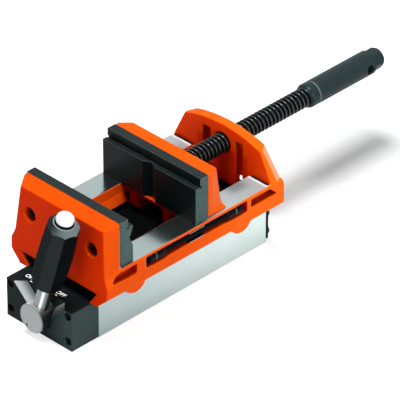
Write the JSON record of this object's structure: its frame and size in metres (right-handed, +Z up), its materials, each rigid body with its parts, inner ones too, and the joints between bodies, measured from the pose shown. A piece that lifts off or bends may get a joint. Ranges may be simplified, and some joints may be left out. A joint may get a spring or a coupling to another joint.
{
  "type": "magnetic vise",
  "caption": "Low machine vise with ledged V-groove jaws and a long screw spindle on a switchable magnet base, with a swing lever, its release button and a stored tommy bar.",
  "frame": {"origin": "middle of the steel block's underside, which is the magnet face", "axes": "+X along the spindle towards its handle, +Y across the vise, +Z up"},
  "size_m": [0.3845, 0.1064, 0.1227],
  "materials": {
    "pole_steel": "ground steel, satin",
    "spacer_brass": "plain brass strip",
    "magnet": "sintered magnet, dark grey",
    "shaft_steel": "turned steel",
    "cap_black": "satin black coating",
    "plate_black": "satin black coating",
    "bronze": "turned bronze",
    "screw_black": "black oxide",
    "lever_steel": "bright turned steel",
    "grip_black": "glossy black moulding",
    "button_white": "bright domed button",
    "spring_steel": "spring steel",
    "casting_orange": "orange enamel on a casting, ground slideways",
    "jaw_steel": "dark grey ground steel",
    "keeper_steel": "plain steel",
    "spindle_steel": "black oxide",
    "sleeve_steel": "blue-grey black oxide",
    "bar_steel": "black oxide",
    "bar_plastic": "black plastic"
  },
  "bodies": {
    "base": {"pole_left": "pole_steel", "pole_right": "pole_steel", "spacer_top": "spacer_brass", "spacer_bottom": "spacer_brass", "front_cap": "cap_black", "front_bush": "bronze", "cap_screws": "screw_black", "rear_plate": "plate_black", "rear_bush": "bronze", "rear_plate_screws": "screw_black", "vise_body": "casting_orange", "adapter_plate": "plate_black", "adapter_screws": "screw_black", "frame_bolts": "screw_black", "fixed_jaw_plate": "jaw_steel", "fixed_jaw_screws": "screw_black", "spindle_nut": "bronze", "bar_clip": "spring_steel", "clip_rivet": "spring_steel"},
    "lever": {"rotor_magnet": "magnet", "rotor_shaft": "shaft_steel", "lever_hub": "lever_steel", "hub_pin": "lever_steel", "lever_stem": "lever_steel", "lever_grip": "grip_black", "button_spring": "spring_steel"},
    "button": {"release_button": "button_white"},
    "carriage": {"moving_jaw": "casting_orange", "moving_jaw_plate": "jaw_steel", "moving_jaw_screws": "screw_black", "keeper_plate": "keeper_steel", "keeper_screws": "screw_black", "spindle_pins": "shaft_steel"},
    "screw": {"spindle": "spindle_steel", "handle_sleeve": "sleeve_steel", "sleeve_screw": "sleeve_steel"},
    "bar": {"tommy_bar": "bar_steel", "bar_caps": "bar_plastic"}
  },
  "joints": [
    {"name": "jaw_slide", "type": "slide", "parent": "base", "child": "carriage", "axis": [1, 0, 0], "range_m": [-0.0657, 0.0395]},
    {"name": "spindle_turn", "type": "hinge", "parent": "carriage", "child": "screw", "pos_m": [0.1, 0, 0.0814], "axis": [1, 0, 0], "range_deg": [-5940, 3580]},
    {"name": "lever_swing", "type": "hinge", "parent": "base", "child": "lever", "pos_m": [-0.1183, 0, 0.0172], "axis": [-1, 0, 0], "range_deg": [0, 60]},
    {"name": "button_press", "type": "slide", "parent": "lever", "child": "button", "axis": [0, 0.2924, -0.9563], "range_m": [0, 0.0027], "stiffness_N_per_m": 800, "springref_m": -0.003},
    {"name": "bar_out", "type": "slide", "parent": "base", "child": "bar", "axis": [0, -1, 0], "range_m": [0, 0.03]}
  ],
  "couplings": [
    {"joint": "spindle_turn", "follows": "jaw_slide", "rad_per_m": 1570.8}
  ]
}
